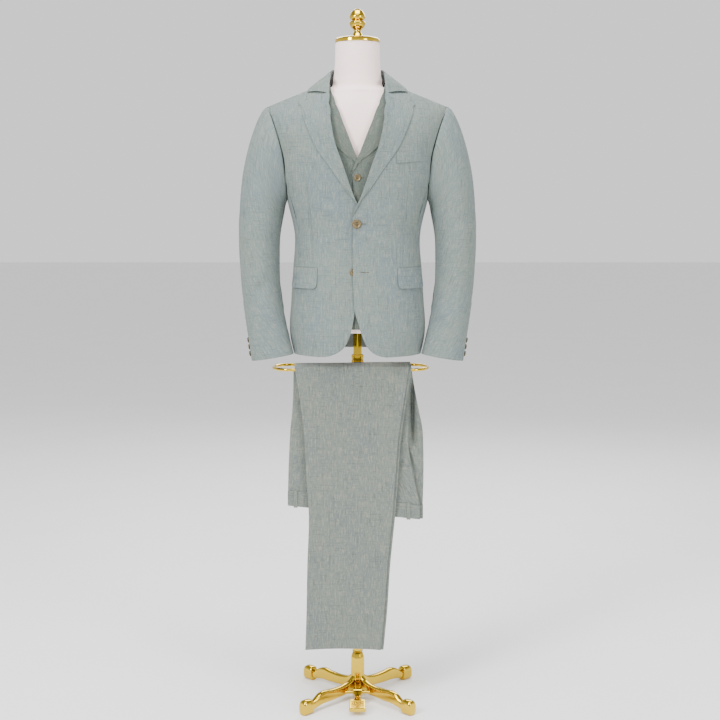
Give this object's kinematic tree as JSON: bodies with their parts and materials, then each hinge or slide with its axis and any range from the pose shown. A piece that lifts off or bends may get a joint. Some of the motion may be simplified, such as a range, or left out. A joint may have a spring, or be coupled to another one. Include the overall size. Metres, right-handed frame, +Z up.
{
  "type": "three-piece suit on a dress form stand",
  "caption": "Linen three-piece suit on a limbless dress form: jacket and waistcoat worn, trousers folded over the bar of its brass stand.",
  "frame": {"origin": "on the floor, under the middle of the base", "axes": "+Z up, the suit's front faces -Y, the wearer's left is +X"},
  "size_m": [0.6174, 0.304, 1.8211],
  "materials": {
    "sage_linen": "sage green linen with slubs",
    "back_satin": "waistcoat back lining satin",
    "brown_horn": "polished brown horn",
    "form_jersey": "off-white jersey",
    "polished_brass": "polished gold plate"
  },
  "bodies": {
    "stand": {"base_column": "polished_brass", "base_leg_1": "polished_brass", "base_leg_2": "polished_brass", "base_leg_3": "polished_brass", "base_leg_4": "polished_brass", "pedal_axle": "polished_brass", "pole_lower": "polished_brass", "pole_collar": "polished_brass", "trouser_bar": "polished_brass", "bar_bracket": "polished_brass", "trouser_near_front": "sage_linen", "trouser_near_back": "sage_linen", "trouser_far_front": "sage_linen", "trouser_far_back": "sage_linen", "trouser_waistband_near": "sage_linen", "trouser_waistband_far": "sage_linen", "trouser_loop_near_front": "sage_linen", "trouser_loop_near_seat": "sage_linen", "trouser_loop_far_front": "sage_linen", "trouser_loop_far_seat": "sage_linen"},
    "form": {"pole_upper": "polished_brass", "dress_form": "form_jersey", "neck_cap": "polished_brass", "finial": "polished_brass", "jacket_front_left": "sage_linen", "jacket_lapel_left": "sage_linen", "jacket_side_left": "sage_linen", "jacket_back_left": "sage_linen", "jacket_flap_left": "sage_linen", "jacket_front_right": "sage_linen", "jacket_lapel_right": "sage_linen", "jacket_side_right": "sage_linen", "jacket_back_right": "sage_linen", "jacket_flap_right": "sage_linen", "jacket_sleeve_top_left": "sage_linen", "jacket_sleeve_under_left": "sage_linen", "jacket_sleeve_top_right": "sage_linen", "jacket_sleeve_under_right": "sage_linen", "jacket_collar": "sage_linen", "jacket_breast_welt": "sage_linen", "jacket_button_upper": "brown_horn", "jacket_button_lower": "brown_horn", "jacket_cuff_button_left_1": "brown_horn", "jacket_cuff_button_left_2": "brown_horn", "jacket_cuff_button_left_3": "brown_horn", "jacket_cuff_button_right_1": "brown_horn", "jacket_cuff_button_right_2": "brown_horn", "jacket_cuff_button_right_3": "brown_horn", "waistcoat_front_left": "sage_linen", "waistcoat_lapel_left": "sage_linen", "waistcoat_front_right": "sage_linen", "waistcoat_lapel_right": "sage_linen", "waistcoat_back": "back_satin", "waistcoat_button_1": "brown_horn", "waistcoat_button_2": "brown_horn", "waistcoat_button_3": "brown_horn", "waistcoat_button_4": "brown_horn", "waistcoat_button_5": "brown_horn"},
    "pedal": {"pedal": "polished_brass"}
  },
  "joints": [
    {"name": "height_slide", "type": "slide", "parent": "stand", "child": "form", "axis": [0, 0, 1], "range_m": [0, 0.25]},
    {"name": "pedal_hinge", "type": "hinge", "parent": "stand", "child": "pedal", "pos_m": [0, -0.05, 0.028], "axis": [1, 0, 0], "range_deg": [0, 5], "stiffness_Nm_per_rad": 1, "springref_deg": -17.19}
  ]
}
